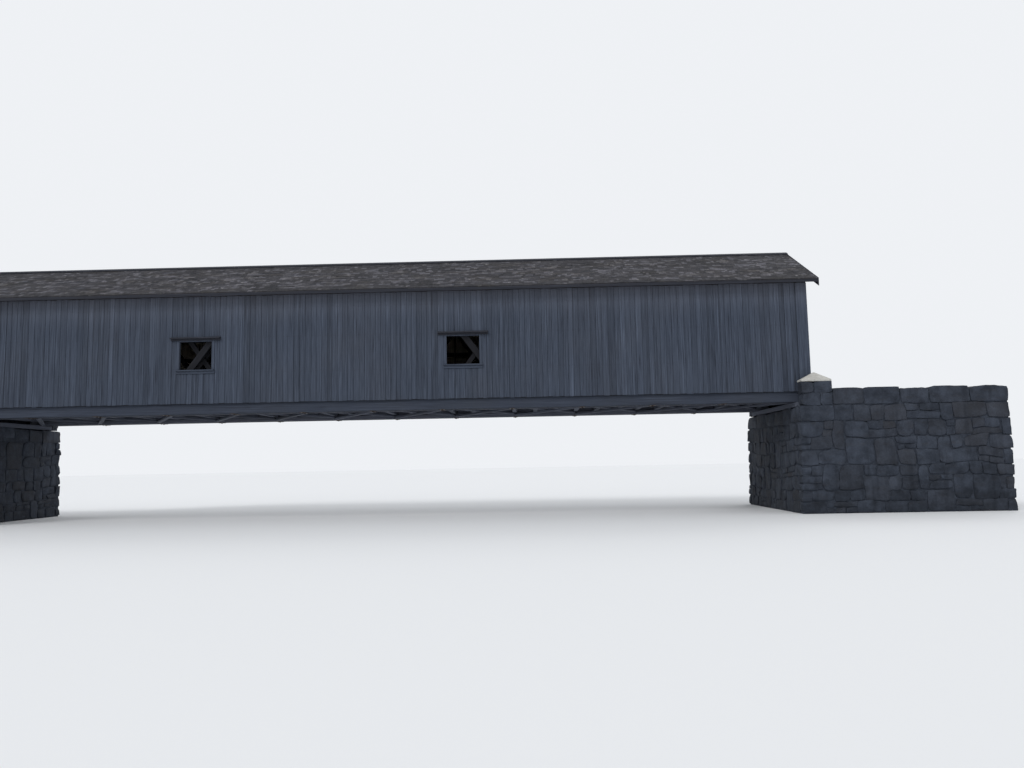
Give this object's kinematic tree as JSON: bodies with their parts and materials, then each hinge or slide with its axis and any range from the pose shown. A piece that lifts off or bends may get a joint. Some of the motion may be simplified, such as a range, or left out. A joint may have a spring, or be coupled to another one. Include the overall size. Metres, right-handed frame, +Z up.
{
  "type": "timber covered bridge",
  "caption": "Covered timber bridge with vertical board walls, a gabled shingle roof and stone abutments.",
  "frame": {"origin": "on the ground under the middle of the span, at the bottom centre of the whole bridge", "axes": "+X along the bridge, +Y to the side away from the picture, +Z up"},
  "size_m": [39.88, 6.16, 9.0181],
  "materials": {
    "stone": "rough, dark, weathered",
    "cap_stone": "pale, weathered",
    "weathered_boards": "unpainted, grey, weathered",
    "trim_wood": "unpainted, dark, weathered",
    "frame_timber": "rough sawn, weathered",
    "shingle": "weathered wooden shingles",
    "iron": "dark, rusted"
  },
  "bodies": {
    "root": {"left_breast_wall": "stone", "right_breast_wall": "stone", "left_back_wall": "stone", "right_back_wall": "stone", "left_wing_walls": "stone", "right_wing_walls": "stone", "corner_piers": "stone", "pier_caps": "cap_stone", "bed_timbers": "frame_timber", "near_lower_chord": "frame_timber", "far_lower_chord": "frame_timber", "near_upper_chord": "frame_timber", "far_upper_chord": "frame_timber", "near_end_posts": "frame_timber", "far_end_posts": "frame_timber", "near_angle_blocks": "frame_timber", "far_angle_blocks": "frame_timber", "near_main_braces": "frame_timber", "far_main_braces": "frame_timber", "near_counter_braces": "frame_timber", "far_counter_braces": "frame_timber", "near_truss_rods": "iron", "far_truss_rods": "iron", "near_rod_plates": "iron", "far_rod_plates": "iron", "ledgers": "frame_timber", "floor_beams": "frame_timber", "lower_bracing": "frame_timber", "deck": "frame_timber", "tie_beams": "frame_timber", "upper_bracing": "frame_timber", "portal_braces": "frame_timber", "wall_plates": "frame_timber", "near_rafters": "frame_timber", "far_rafters": "frame_timber", "near_roof": "shingle", "far_roof": "shingle", "ridge_boards": "trim_wood", "fascia_boards": "trim_wood", "near_barge_boards": "trim_wood", "far_barge_boards": "trim_wood", "near_girts": "frame_timber", "far_girts": "frame_timber", "near_siding": "weathered_boards", "far_siding": "weathered_boards", "corner_boards": "weathered_boards", "left_portal": "weathered_boards", "right_portal": "weathered_boards", "window_frames": "trim_wood", "window_hoods": "trim_wood", "window_sills": "trim_wood"}
  },
  "joints": []
}
